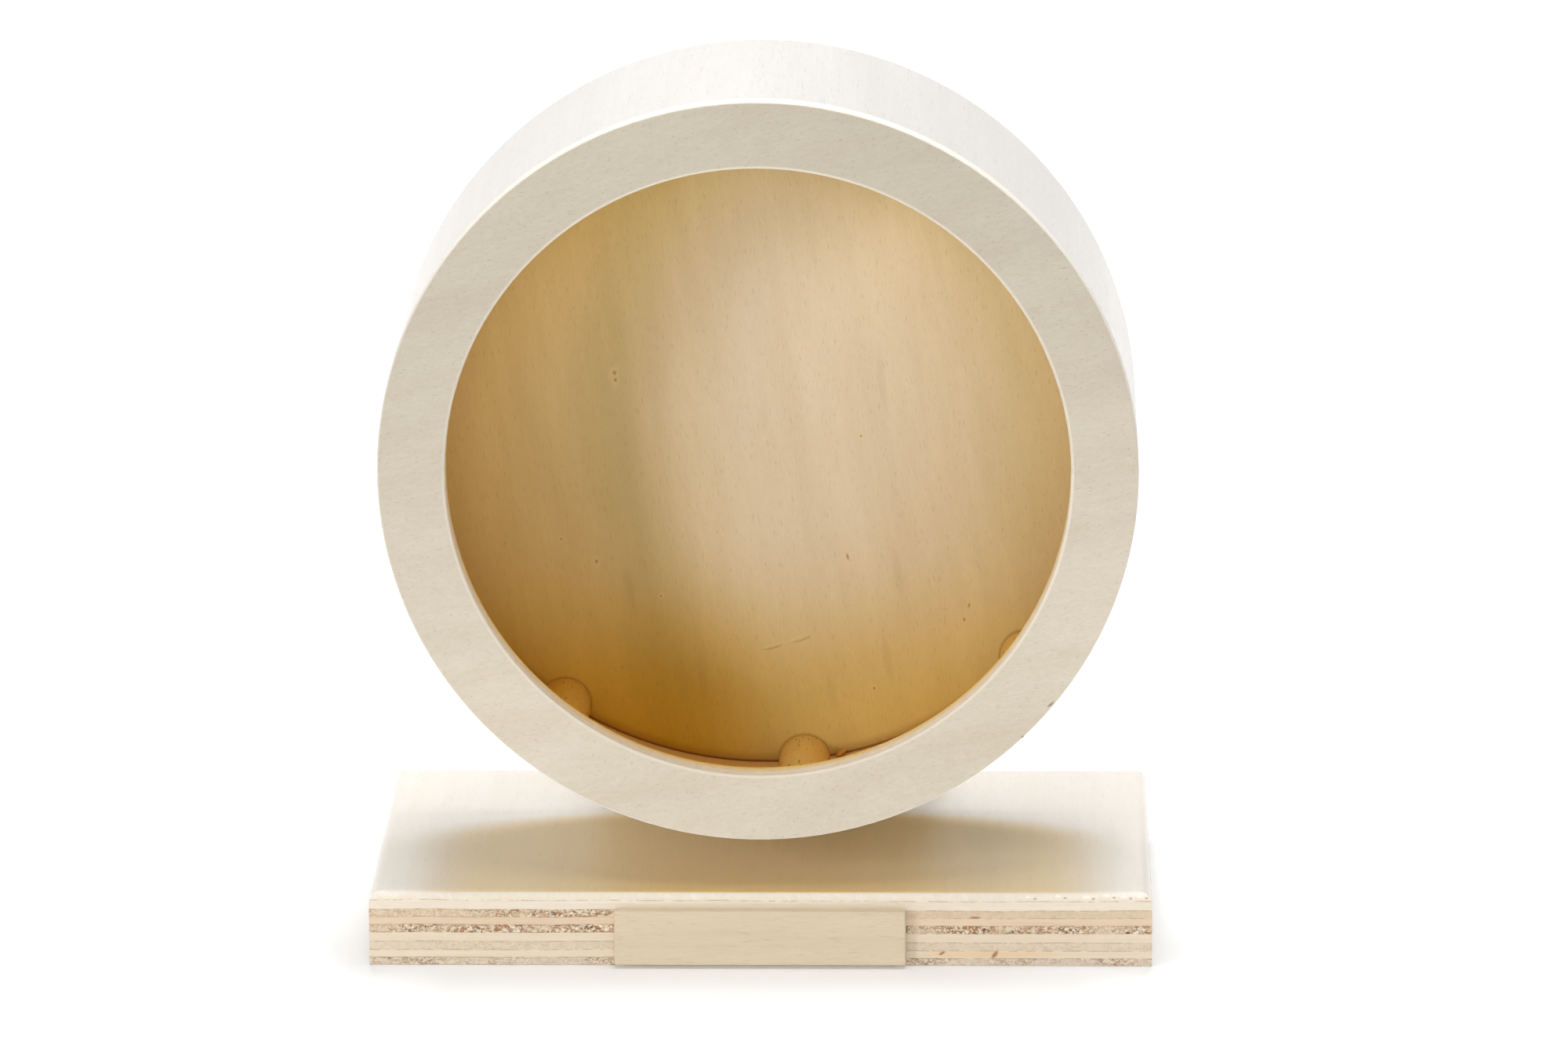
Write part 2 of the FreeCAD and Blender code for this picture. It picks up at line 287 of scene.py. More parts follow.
def torn(g, space, seed):
    """Torn end grain: a mask of its rough patches, and the noises behind its pits and holes."""
    patch = g.smooth(g.noise(space, (16, 16, 5), seed, detail=2.0), 0.36, 0.60)
    pit = g.noise(space, (0.85, 0.85, 0.62), seed + 1, detail=1.5, roughness=0.5, distortion=1.0)
    hole = g.noise(space, (1.5, 1.5, 0.8), seed + 2, detail=2.0, distortion=0.8)
    return patch, pit, hole


def plywood(
    name, axis, low, high, plies, first, second,
    extras=None, seed=1.0, look=PLAIN_FIGURE, gloss=(0.6, 0.25, 0.0), clean=None,
):
    """Laid-up boards. axis is the thickness direction, running from low to high.
    plies lists (share of the thickness where it ends, grain 0 along first or 1 along second,
    colour along the grain, colour of the end grain, how torn the end grain is).
    gloss is roughness, specular level and sheen, and clean gives how much tearing is kept."""
    g = Graph(name, roughness=gloss[0], specular=gloss[1], fuzz=gloss[2])
    wave = g.noise(g.place, (PLY_WAVE_SIZE,) * 3, seed + 20, detail=2.0)
    depth = g.split(g.place)["XYZ".index(axis)]
    depth = g.math("MULTIPLY_ADD", g.math("SUBTRACT", wave, 0.5), PLY_WAVE, depth)
    share = g.math("DIVIDE", g.math("SUBTRACT", depth, low), high - low, clamp=True)
    starts = [0.0] + [ply[0] for ply in plies[:-1]]
    lists = [[(s, ply[k]) for s, ply in zip(starts, plies)] for k in (1, 2, 3, 4)]
    parity, grain_tint, end_tint, tear = (g.ramp(share, stops, "CONSTANT") for stops in lists)

    thickness = Vector([1.0 if a == axis else 0.0 for a in "XYZ"])
    edge = g.smooth(g.facing(thickness), 0.97, 0.55)
    spaces = [g.along(d) for d in (first, second)]
    figures = [figure(g, space, seed + 5 * k, look) for k, space in enumerate(spaces)]
    lines = [figure(g, space, seed + 5 * k, EDGE_FIGURE) for k, space in enumerate(spaces)]
    shade = g.mix(edge, *(g.mix(parity, pair[0][0], pair[1][0]) for pair in (figures, lines)))
    height = g.mix(parity, figures[0][1], figures[1][1])
    end = g.mix(parity, g.facing(first), g.facing(second))
    if clean:
        tear = g.math("MULTIPLY", tear, clean(g, share))
    patch, pit, hole = torn(g, g.place, seed + 11)
    patchy = g.math("MULTIPLY_ADD", patch, 0.75, 0.25)
    rough = g.math("MULTIPLY", g.math("MULTIPLY", end, tear), patchy)
    colour = g.mix(g.math("MULTIPLY", end, edge), grain_tint, end_tint)
    colour = g.mix(1.0, colour, shade, "MULTIPLY")
    pits = g.math("MULTIPLY", g.smooth(pit, 0.51, 0.58), rough)
    colour = g.paint(colour, pits, 0.90, PIT_BROWN)
    holes = g.math("MULTIPLY", g.smooth(hole, 0.56, 0.62), rough)
    colour = g.paint(colour, holes, 0.92, HOLE_BROWN)
    flakes = g.math("MULTIPLY", g.smooth(pit, 0.46, 0.38), rough)
    colour = g.paint(colour, flakes, 0.85, FLAKE_PALE)

    line = GLUE_LINE / (high - low)
    stops = [(0.0, 0.0)]
    for s in starts[1:]:
        stops += [(s - line, 0.0), (s, 1.0), (s + line, 0.0)]
    glue = g.math("MULTIPLY", g.ramp(share, stops), edge)
    broken = g.smooth(g.noise(g.place, (2.4, 2.4, 2.4), seed + 14, detail=2.0), 0.36, 0.60)
    glue = g.math("MULTIPLY", glue, broken)
    colour = g.paint(colour, glue, 0.55, GLUE_BROWN)

    height = g.weighted((height, 1.0), (pits, -0.10), (holes, -0.16), (flakes, 0.06), (glue, -0.05))
    if extras:
        colour, height = extras(g, colour, height)
    return g.finish(colour, height)


# Ply stacks, listed as plywood() says: the base's from its underside, the others' from the front.
# Base and upright share the first one. The second is the ring's: inner plies near white, rear ones
# yellow, partly their own colour and partly painted light on the mouth's wall from inside the drum.
THICK_PLIES = [
    (0.110, 0.0, tint(226, 210, 186), tint(226, 214, 198), 0.60),
    (0.215, 1.0, tint(239, 227, 208), tint(212, 192, 164), 0.6),
    (0.330, 0.0, tint(232, 217, 194), tint(230, 216, 198), 0.14),
    (0.455, 1.0, tint(238, 226, 207), tint(214, 194, 166), 0.6),
    (0.565, 0.0, tint(230, 212, 184), tint(224, 206, 181), 1.0),
    (0.670, 1.0, tint(233, 212, 187), tint(206, 184, 155), 0.8),
    (0.775, 0.0, tint(232, 214, 187), tint(227, 208, 182), 0.85),
    (0.900, 1.0, tint(242, 233, 220), tint(216, 198, 172), 0.6),
    (1.000, 0.0, tint(249, 246, 242), tint(244, 236, 222), 0.05),
]
THIN_PLIES = [
    (0.16, 0.0, tint(222, 215, 201), tint(250, 245, 236), 0.10),
    (0.36, 1.0, tint(255, 252, 245), tint(254, 249, 240), 0.06),
    (0.58, 0.0, tint(254, 247, 232), tint(253, 243, 224), 0.06),
    (0.80, 1.0, tint(255, 243, 212), tint(255, 238, 198), 0.06),
    (1.00, 0.0, tint(255, 224, 140), tint(255, 218, 126), 0.05),
]
DISC_PLIES = [
    (0.10, 0.0, tint(236, 223, 197), tint(226, 198, 154), 0.15),
    (0.30, 1.0, tint(230, 209, 180), tint(206, 182, 150), 0.45),
    (0.50, 0.0, tint(235, 216, 188), tint(210, 186, 154), 0.45),
    (0.70, 1.0, tint(230, 209, 180), tint(206, 182, 150), 0.45),
    (0.90, 0.0, tint(235, 216, 188), tint(210, 186, 154), 0.45),
    (1.00, 1.0, tint(238, 224, 202), tint(214, 192, 160), 0.15),
]

# The wheel's warm shadow is painted on the middle of the base's top ply, from the front edge to a
# rounded end towards the back: where the rounding starts, the half sizes, and between which
# distances to each side the painted shade of the very middle grows.
WHEEL_SHADOW_PLACE = (0.0, -10.0, BASE_HIGH.z)
WHEEL_SHADOW_HALF = (89.0, 28.0, 1000.0)
WHEEL_SHADOW_CORE = (72.0, 12.0)
WHEEL_SHADOW_TINT = (1.0, 0.81, 0.44, 1)
WHEEL_SHADOW_CORE_TINT = (1.0, 0.87, 0.46, 1)
# The painted shadow stays on the flat top: between these depths below it, it ends.
WHEEL_SHADOW_DEPTHS = (0.35, 0.05)

# Small chips along the upper front edge at the right: place across, how far up, half width.
CHIPS = [
    (71.0, 0.0, 0.8), (79.0, 0.2, 1.2), (86.5, 0.0, 1.5),
    (92.0, 0.3, 1.2), (96.4, 0.1, 1.4), (100.6, 0.2, 0.9),
]
# The uppermost torn ply is torn at the left and cut almost clean at the right. It turns from one
# to the other between these places, and lies between these shares of the thickness.
TORN_LEFT = (0.0, 46.0)
TORN_PLY = (0.665, 0.780)


def base_clean_cut(g, share):
    """How much of its tearing each place of the base's edges keeps."""
    right = g.smooth(g.split(g.place)[0], *TORN_LEFT)
    low, high = TORN_PLY
    ply = g.math("MULTIPLY", g.math("GREATER_THAN", share, low), g.math("LESS_THAN", share, high))
    return g.math("SUBTRACT", 1.0, g.math("MULTIPLY", g.math("MULTIPLY", right, ply), 0.9))


def base_marks(g, colour, height):
    """Knots, stain and chips of the front edge, and the wheel's painted shadow on the top ply."""
    front = BASE_LOW.y
    stain_and_shade = g.marks([(61.0, front, 3.3, 26.0, 1.25, 0), (50.0, front, 3.4, 6.0, 1.0, 0)])
    knot = g.marks([
        (62.3, front, 3.2, 0.75, 1.7, 38),
        (48.3, front, 3.6, 1.3, 0.5, -30),
        (57.1, front, 13.5, 1.9, 0.4, 0),
    ])
    chips = g.marks([(x, front, 19.0 + lift, wide, 0.45, 6 * lift) for x, lift, wide in CHIPS])
    dents = g.marks([(x + 1.9, front, 18.6 + lift, 0.6, 0.35, 0) for x, lift, _ in CHIPS])
    colour = g.paint(colour, stain_and_shade, 0.50, tint(236, 196, 146))
    colour = g.paint(colour, knot, 0.85, tint(158, 106, 62))
    colour = g.paint(colour, chips, 0.8, tint(255, 252, 246))
    colour = g.paint(colour, dents, 0.6, tint(150, 112, 74))
    local = g.mapped(g.place, "TEXTURE", location=WHEEL_SHADOW_PLACE, scale=WHEEL_SHADOW_HALF)
    local = g.vector("MAXIMUM", local, (-9, 0, -9))
    x, _, z = g.split(g.place)
    flat_top = g.smooth(z, *(BASE_HIGH.z - depth for depth in WHEEL_SHADOW_DEPTHS))
    wheel_shadow = g.math("MULTIPLY", g.smooth(g.vector("LENGTH", local), 1.10, 0.82), flat_top)
    shadow_core = g.math("MULTIPLY", wheel_shadow, g.smooth(g.math("ABSOLUTE", x), *WHEEL_SHADOW_CORE))
    # Painted warm shadow of the wheel on the top ply, deepest in its middle.
    colour = g.deepen(colour, wheel_shadow, WHEEL_SHADOW_TINT)
    colour = g.deepen(colour, shadow_core, WHEEL_SHADOW_CORE_TINT)
    return colour, g.math("MULTIPLY_ADD", knot, -0.12, height)


def around_axle(g):
    """Distance from the axle, and the angle from straight below it towards +X."""
    x, _, z = g.split(g.place)
    x = g.math("SUBTRACT", x, AXLE_X)
    z = g.math("SUBTRACT", AXLE_Z, z)
    radius = g.math("SQRT", g.math("ADD", g.math("MULTIPLY", x, x), g.math("MULTIPLY", z, z)))
    return radius, g.math("ARCTAN2", x, z)


# The ring's grain is tilted. Its veneer is painted darker along RING_DARKER, between these
# distances from the axle's height: painted shade on its upper part.
RING_TILT = math.radians(13)
RING_GRAIN = (math.cos(RING_TILT), 0, math.sin(RING_TILT))
RING_CROSS = (-math.sin(RING_TILT), 0, math.cos(RING_TILT))
RING_DARKER = (-0.2, 0, 0.98)
RING_DARKENS = (-75, 65)
RING_UPPER_SHADE_TINT = (0.82, 0.825, 0.825, 1)
RING_DRIFT_TINT = (0.93, 0.88, 0.82, 1)


def ring_marks(g, colour, height):
    """The ring's veneer: painted shade on its upper part, sanded edges paler and with painted
    highlights, and soft drifts and dark nicks.
    """
    front = RING_LOW.y
    nicks = g.marks([
        (77.0, front, 72.0, 1.5, 0.35, -40),
        (77.6, front, 71.0, 0.5, 0.5, 0),
        (69.7, front, 63.1, 0.6, 0.45, 0),
    ])
    drift = g.smooth(g.noise(g.along(RING_GRAIN), (70, 13, 13), 71, detail=2.0), 0.50, 0.72)
    colour = g.deepen(colour, g.math("MULTIPLY", drift, 0.30), RING_DRIFT_TINT)
    # Painted shade: the veneer is darker on the ring's upper part.
    rise = g.vector("DOT_PRODUCT", g.place, RING_DARKER)
    upper_shade = g.smooth(rise, *(AXLE_Z + distance for distance in RING_DARKENS))
    colour = g.deepen(colour, upper_shade, RING_UPPER_SHADE_TINT)
    radius, _ = around_axle(g)
    # The sanded mouth edge is paler wood, and a painted highlight along its rounding.
    mouth = g.smooth(radius, MOUTH_RADIUS + 1.0, MOUTH_RADIUS + 0.4)
    worn = g.math("MULTIPLY", mouth, g.smooth(g.split(g.place)[1], front + 1.4, front + 0.7))
    colour = g.paint(colour, worn, 0.55, tint(243, 236, 224))
    # Painted highlight along the ring's outer rim.
    rim_highlight = g.smooth(radius, DRUM_RADIUS - 0.45, DRUM_RADIUS - 0.1)
    colour = g.paint(colour, rim_highlight, 0.9, tint(236, 233, 227))
    colour = g.paint(colour, nicks, 0.7, tint(128, 104, 78))
    return colour, g.math("MULTIPLY_ADD", nicks, -0.15, height)


DISC_LEAN = math.radians(9)
DISC_GRAIN = (-math.sin(DISC_LEAN), 0, math.cos(DISC_LEAN))
DISC_CROSS = (math.cos(DISC_LEAN), 0, math.sin(DISC_LEAN))
# The disc's inside is pale in its middle and turns warmer and darker around it: partly the wood's
# own honey colour, partly painted shade and painted bounced light. Each pair gives where a zone
# starts and where it is full. On the left the turn lies further right by these shares of the height
# above and below the axle, and a painted shadow band lies just past it.
TONE_AND_SHADE_LEANS = (0.15, -0.22)
LEFT_TONE_AND_SHADE = (-4.0, -50.0)
LEFT_TONE_AND_SHADE_TINT = (0.985, 0.89, 0.58, 1)
SHADOW_BAND_NEAR = (-24.0, -42.0)
SHADOW_BAND_FAR = (-58.0, -44.0)
SHADOW_BAND_TINT = (0.89, 0.90, 0.87, 1)
# On the right it is measured across the grain.
RIGHT_TONE_AND_SHADE = (56.0, 92.0)
RIGHT_TONE_AND_SHADE_TINT = (0.91, 0.91, 0.84, 1)
# Heights, below and above.
BELOW_TONE_AND_SHADE = (100.0, 48.0)
BELOW_TONE_AND_SHADE_TINT = (0.94, 0.85, 0.48, 1)
ABOVE_TONE_AND_SHADE = (168.0, 222.0)
ABOVE_TONE_AND_SHADE_TINT = (0.85, 0.84, 0.65, 1)
# Low down on the left it is painted orange shade: heights, and places across.
LOW_LEFT_SHADE_HEIGHTS = (92.0, 30.0)
LOW_LEFT_SHADE_ACROSS = (10.0, -30.0)
LOW_LEFT_SHADE_TINT = (0.97, 0.81, 0.10, 1)
# Outwards from the axle it turns yellower, partly as painted shade: radii.
OUTER_TONE_AND_SHADE = (34.0, 96.0)
OUTER_TONE_AND_SHADE_TINT = (0.995, 0.95, 0.73, 1)
# The tones end between these depths behind the inside face.
INSIDE_DEPTHS = (0.6, 0.3)
# Colours of the painted shade by the rungs and the floor, and in the corner by the floor.
RUNG_AND_FLOOR_SHADE = tint(150, 90, 20)
FLOOR_CORNER_SHADE = tint(116, 50, 0)


def disc_marks(g, colour, height):
    """The disc's inside: warm zones and a darker band, partly painted shade, pin knots with pale
    halos, dark streaks, a raised tear, and painted shade by floor and rungs."""
    face = DISC_LOW.y
    pins = [
        (-40.1, face, 145.6, 0.65, 0.85, 0),
        (-39.9, face, 143.6, 0.55, 0.75, 0),
        (-45.5, face, 93.0, 0.60, 0.70, 0),
        (-55.0, face, 99.2, 0.40, 0.45, 0),
        (26.1, face, 128.1, 0.40, 0.50, 0),
        (22.4, face, 94.4, 0.50, 1.35, -12),
        (55.2, face, 80.8, 0.40, 1.00, 14),
        (53.9, face, 76.8, 0.50, 0.70, 0),
        (29.5, face, 57.4, 0.50, 0.55, 0),
        (-28.2, face, 83.3, 0.40, 0.45, 0),
    ]
    halos = [(x, y, z, wide * 3.2, high * 3.6, lean) for x, y, z, wide, high, lean in pins]
    streaks = [
        (31.8, face, 144.0, 1.6, 12.0, -7),
        (-36.5, face, 84.0, 1.6, 9.0, -9),
        (-17.0, face, 60.0, 1.6, 8.0, -9),
        (36.0, face, 90.0, 1.6, 10.0, -9),
        (33.0, face, 66.0, 1.6, 9.0, -10),
        (18.0, face, 56.0, 1.6, 8.0, -8),
    ]
    outside = colour
    across_grain = g.split(g.along(DISC_CROSS))[0]
    x, y, z = g.split(g.place)
    rise = g.math("SUBTRACT", z, AXLE_Z)
    lean = g.math("MAXIMUM", *(g.math("MULTIPLY", rise, share) for share in TONE_AND_SHADE_LEANS))
    turn = g.math("SUBTRACT", x, lean)
    # Painted shade and bounced light, partly the wood's own colour: warm zones all around.
    colour = g.deepen(colour, g.smooth(turn, *LEFT_TONE_AND_SHADE), LEFT_TONE_AND_SHADE_TINT)
    # A painted shadow band just past the turn on the left.
    shadow_band = g.math("MULTIPLY", g.smooth(turn, *SHADOW_BAND_NEAR), g.smooth(turn, *SHADOW_BAND_FAR))
    colour = g.deepen(colour, shadow_band, SHADOW_BAND_TINT)
    colour = g.deepen(colour, g.smooth(across_grain, *RIGHT_TONE_AND_SHADE), RIGHT_TONE_AND_SHADE_TINT)
    colour = g.deepen(colour, g.smooth(z, *BELOW_TONE_AND_SHADE), BELOW_TONE_AND_SHADE_TINT)
    colour = g.deepen(colour, g.smooth(z, *ABOVE_TONE_AND_SHADE), ABOVE_TONE_AND_SHADE_TINT)
    # Painted orange shade low on the left.
    low_left_shade = g.math("MULTIPLY", g.smooth(z, *LOW_LEFT_SHADE_HEIGHTS), g.smooth(x, *LOW_LEFT_SHADE_ACROSS))
    colour = g.deepen(colour, low_left_shade, LOW_LEFT_SHADE_TINT)
    radius, angle = around_axle(g)
    # Painted shade, partly the wood's own colour: yellower outwards from the axle.
    colour = g.deepen(colour, g.smooth(radius, *OUTER_TONE_AND_SHADE), OUTER_TONE_AND_SHADE_TINT)
    tear = g.marks([(2.0, face, 69.2, 3.4, 0.8, -16), (9.5, face, 71.4, 3.4, 0.9, -18)])
    inside = g.smooth(y, *(face + depth for depth in INSIDE_DEPTHS))
    colour = g.mix(inside, outside, colour)
    colour = g.paint(colour, g.marks(halos), 0.22, tint(244, 214, 160))
    colour = g.paint(colour, g.marks(streaks), 0.10, tint(160, 118, 72))
    colour = g.paint(colour, g.marks(pins), 0.55, tint(140, 98, 52))

    pitch = 2 * math.pi / RUNG_COUNT
    folded = g.math("WRAP", g.math("SUBTRACT", angle, RUNG_START), pitch / 2, -pitch / 2)
    inward = g.math("MULTIPLY", radius, g.math("COSINE", folded))
    reach = g.math("MULTIPLY", inward, 2 * FLOOR_RADIUS)
    square = g.math("SUBTRACT", g.math("MULTIPLY_ADD", radius, radius, FLOOR_RADIUS ** 2), reach)
    away = g.math("SQRT", g.math("MAXIMUM", square, 0.0))
    # Painted shade around the rungs' ends and along the running floor, darkest in the corner.
    by_rung = g.smooth(away, RUNG_RADIUS + 1.0, RUNG_RADIUS)
    by_floor = g.smooth(radius, FLOOR_RADIUS - 3.5, FLOOR_RADIUS - 0.3)
    stain_and_shade = g.math("MULTIPLY", g.math("MAXIMUM", by_rung, by_floor), inside)
    colour = g.paint(colour, stain_and_shade, 0.48, RUNG_AND_FLOOR_SHADE)
    corner_shade = g.math("MULTIPLY", g.smooth(radius, FLOOR_RADIUS - 0.9, FLOOR_RADIUS - 0.3), inside)
    colour = g.paint(colour, corner_shade, 0.75, FLOOR_CORNER_SHADE)
    return colour, g.math("MULTIPLY_ADD", tear, 0.20, height)


# Inside, the wall is honey-coloured: partly its own colour, partly painted shade.
WALL_OUTSIDE = tint(219, 219, 220)
WALL_INSIDE = tint(230, 180, 83)
# The wall's plies from the inside: the share of its thickness where each starts, and its colour.
WALL_PLIES = [(0.0, tint(222, 204, 176)), (0.3, tint(196, 170, 134)), (0.7, tint(226, 208, 180))]


def bent_plywood(name):
    """The drum's wall: grain across the strip, so along Y, and three thin plies at its edges."""
    g = Graph(name, roughness=0.6, specular=0.2, fuzz=0.44)
    shade, height = figure(g, g.along((0, 1, 0)), 31.0, WALL_FIGURE)
    radius, _ = around_axle(g)
    inner = g.smooth(radius, DRUM_RADIUS - 0.9, DRUM_RADIUS - 1.1)
    # Inside, painted shade in the wall's honey colour.
    colour = g.mix(inner, WALL_OUTSIDE, WALL_INSIDE)
    share = g.math("DIVIDE", g.math("SUBTRACT", radius, FLOOR_RADIUS), WALL_THICKNESS, clamp=True)
    stack = g.ramp(share, WALL_PLIES, "CONSTANT")
    colour = g.mix(g.smooth(g.facing((0, 1, 0)), 0.4, 0.7), colour, stack)
    colour = g.mix(1.0, colour, shade, "MULTIPLY")
    return g.finish(colour, height)


# The rungs at the left are painted darker and oranger, as shade: places across where this starts
# and where it is full.
RUNG_SHADE_PLACES = (-35.0, -60.0)
RUNG_SHADE_TINT = (0.97, 0.84, 0.34, 1)


def rung_shade(g, colour):
    """Paints shade on the rungs at the left."""
    return g.deepen(colour, g.smooth(g.split(g.place)[0], *RUNG_SHADE_PLACES), RUNG_SHADE_TINT)


def solid_wood(name, direction, pale, end, seed, specks=0.0, look=PLAIN_FIGURE, tone=None):
    """Solid wood with its grain along direction. specks is how strongly its short dark cracks show,
    and tone changes its colour."""
    g = Graph(name, roughness=0.58, specular=0.3)
    space = g.along(direction)
    shade, height = figure(g, space, seed, look)
    colour = g.mix(g.facing(direction), pale, end)
    colour = g.mix(1.0, colour, shade, "MULTIPLY")
    if tone:
        colour = tone(g, colour)
    cracks = g.noise(space, (4.5, 0.75, 0.75), seed + 9, detail=2.0)
    cracks = g.math("MULTIPLY", g.smooth(cracks, 0.64, 0.70), specks)
    colour = g.mix(cracks, colour, tint(112, 72, 36))
    return g.finish(colour, g.math("MULTIPLY_ADD", cracks, -0.15, height))


def steel(name, colour, worn, roughness, grain):
    """Metal with drawn or turned marks, soft dull clouds and fine pitting.
    grain is the size of the marks."""
    g = Graph(name, roughness=roughness, specular=0.5, metallic=1.0)
    cloud = g.noise(g.place, (5, 5, 5), 41, detail=4.0)
    line = g.noise(g.place, grain, 43, detail=3.0)
    pitting = g.smooth(g.noise(g.place, (0.5, 0.5, 0.5), 45, detail=1.0), 0.66, 0.74)
    tone = g.mix(g.smooth(cloud, 0.35, 0.68), colour, worn)
    tone = g.paint(tone, pitting, 0.4, tint(92, 90, 88))
    dull = g.weighted((cloud, 0.22), (line, 0.14), (pitting, 0.2))
    dull = g.math("ADD", dull, roughness - 0.18)
    height = g.weighted((line, 0.006), (pitting, -0.01))
    return g.finish(tone, height, dull)


WIDTH, DEPTH, UP = (1, 0, 0), (0, 1, 0), (0, 0, 1)

BEARING_PARTS = [
    name for name in NODES
    if name.startswith(("front_bearing", "rear_bearing")) and not name.endswith("_cage")
]

# Each material, and the nodes that it is on.
MATERIALS = [
    (
        plywood(
            "base_plywood", "Z", BASE_LOW.z, BASE_HIGH.z, THICK_PLIES, DEPTH, WIDTH, base_marks,
            look=FAINT_FIGURE, gloss=(0.42, 0.5, 0.6), clean=base_clean_cut,
        ),
        ["base_board"],
    ),
    (
        plywood(
            "upright_plywood", "Y", UPRIGHT_LOW.y, UPRIGHT_HIGH.y, THICK_PLIES, UP, WIDTH, seed=3.0,
        ),
        ["upright_board"],
    ),
    (
        plywood(
            "ring_plywood", "Y", RING_LOW.y, RING_HIGH.y, THIN_PLIES, RING_GRAIN, RING_CROSS,
            ring_marks, 7.0, FUZZY_FIGURE,
        ),
        ["front_ring"],
    ),
    (
        plywood(
            "disc_plywood", "Y", DISC_LOW.y, DISC_HIGH.y, DISC_PLIES, DISC_GRAIN, DISC_CROSS,
            disc_marks, 9.0, SOFT_FIGURE,
        ),
        ["back_disc"],
    ),
    (bent_plywood("wall_plywood"), ["drum_wall"]),
    (
        solid_wood(
            "rung_wood", DEPTH, tint(237, 199, 115), tint(228, 182, 94), 51.0,
            specks=0.8, tone=rung_shade,
        ),
        [f"rung_{index}" for index in range(1, RUNG_COUNT + 1)],
    ),
    (
        solid_wood(
            "plaque_wood", WIDTH, tint(228, 217, 196), tint(220, 205, 180), 55.0, specks=0.05,
        ),
        ["front_plaque"],
    ),
    (
        solid_wood("block_wood", UP, tint(226, 192, 148), tint(196, 156, 110), 57.0, specks=0.35),
        ["hub_block", "locating_dowels"],
    ),
    (
        steel("zinc_steel", tint(206, 208, 206), tint(172, 174, 176), 0.34, (0.25, 3.0, 0.25)),
        ["base_screws", "hub_screws", "axle_bolt", "spacer_washer", "nut_washer", "lock_nut"],
    ),
    (
        steel("bearing_steel", tint(222, 222, 222), tint(198, 199, 202), 0.22, (0.3, 0.06, 0.3)),
        BEARING_PARTS + ["bearing_spacer"],
    ),
    (
        steel("cage_steel", tint(188, 176, 150), tint(158, 148, 128), 0.36, (0.4, 0.1, 0.4)),
        [name for name in NODES if name.endswith("_cage")],
    ),
]

for material, names in MATERIALS:
    for name in names:
        mesh_slots = NODES[name].material_slots
        if not mesh_slots:
            NODES[name].data.materials.append(material)
        for mesh_slot in mesh_slots:
            mesh_slot.material = material

# The drop of dried glue in the corner between running floor and disc, right of the lowest rung.
BEAD_CENTRE = Vector((20.5, 7.6, AXLE_Z - 95.1))
BEAD_HALF = Vector((1.65, 1.25, 0.70))
BEAD_RISE = math.radians(32)


def dried_glue(name):
    g = Graph(name, roughness=0.32, specular=0.5)
    cloud = g.noise(g.place, (1.1, 1.1, 1.1), 81, detail=3.0)
    speck = g.smooth(g.noise(g.place, (0.35, 0.35, 0.35), 83, detail=1.0), 0.62, 0.72)
    colour = g.mix(g.smooth(cloud, 0.36, 0.64), tint(204, 136, 36), tint(228, 170, 66))
    colour = g.paint(colour, speck, 0.5, tint(150, 92, 34))
    return g.finish(colour, g.weighted((cloud, 0.10), (speck, 0.04)))


def glue_bead():
    """A leaf-shaped, lumpy bead, squeezed out of the joint and thinner towards its tip."""
    work = bmesh.new()
    bmesh.ops.create_icosphere(work, subdivisions=4, radius=1.0)
    turn = Matrix.Rotation(-BEAD_RISE, 3, "Y")
    for vertex in work.verts:
        x, y, z = vertex.co
        lumps = 1 + 0.10 * math.sin(4.1 * x + 1.3 * y + 0.6)
        lumps += 0.07 * math.sin(6.3 * z - 3.7 * x + 1.9)
        taper = 1 - 0.38 * max(x, 0.0) ** 1.5 - 0.16 * max(-x, 0.0) ** 2
        fold = 0.22 * math.exp(-18 * (y + 0.15) ** 2) * (1 if z > 0 else 0)
        shape = Vector((x, y * taper * lumps, z * taper * lumps + fold * taper + 0.18 * x * x))
        vertex.co = (BEAD_CENTRE + turn @ Vector([a * b for a, b in zip(shape, BEAD_HALF)])) / MM
    mesh = bpy.data.meshes.new("glue_bead")
    work.to_mesh(mesh)
    work.free()
    for face in mesh.polygons:
        face.use_smooth = True
    mesh.materials.append(dried_glue("dried_glue"))
    piece = bpy.data.objects.new("glue_bead", mesh)
    bpy.context.scene.collection.objects.link(piece)
    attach(piece, "wheel")


glue_bead()

# Stage: a white floor that keeps the object's soft shadow.
FLOOR_SIZE = 9.0
FLOOR_DIFFUSE = tint(240, 244, 250)
# What the camera sees of the floor is lifted to white by a glow that rises with the distance from
# the base's outline, in metres. The rays that light the object get FLOOR_FILL instead.
FLOOR_GLOW = 0.08
FLOOR_GLOW_FAR = 0.36
FLOOR_GLOW_END = 0.80
FLOOR_FILL = 0.20
GLOW_NEAR = 0.0
GLOW_FAR = 0.045
GLOW_END = 1.6
# The soft light that comes off the floor is almost neutral, and that from the room is warm.
FLOOR_TINT = (1.0, 0.97, 0.92)
ROOM_TINT = (1.0, 0.80, 0.52)


